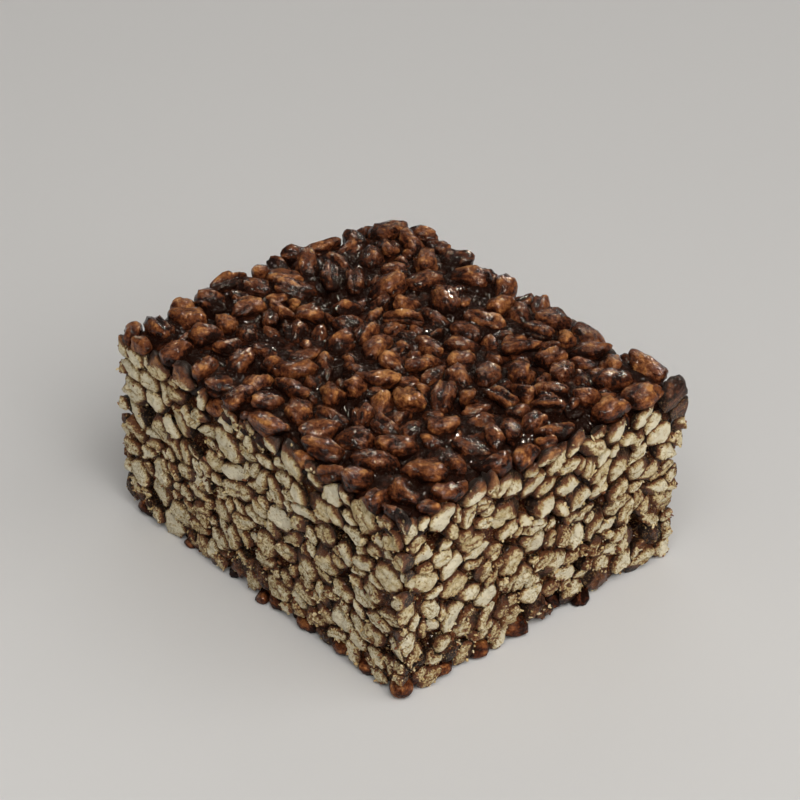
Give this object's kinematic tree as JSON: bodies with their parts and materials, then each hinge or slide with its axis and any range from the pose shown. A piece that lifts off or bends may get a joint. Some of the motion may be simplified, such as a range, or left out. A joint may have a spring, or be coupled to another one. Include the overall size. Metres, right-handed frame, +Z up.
{
  "type": "puffed wheat square",
  "caption": "Rectangular block of puffed wheat grains bound with dark cocoa syrup, glazed whole grains on top and knife-cut pale grains on its sides, resting on a flat underside",
  "frame": {"origin": "centre of the bounding box in plan, at the height of the flat underside", "axes": "+Z up; +X along the longer side of the block, out of the cut face on the right of the picture; +Y out of the cut face hidden at the back"},
  "size_m": [0.0774, 0.064, 0.0403],
  "materials": {
    "syrup_grain": "glossy dark cocoa syrup over puffed grains, cut faces of the grains cream and matt"
  },
  "bodies": {
    "root": {"puffed_wheat_square": "syrup_grain"}
  },
  "joints": []
}
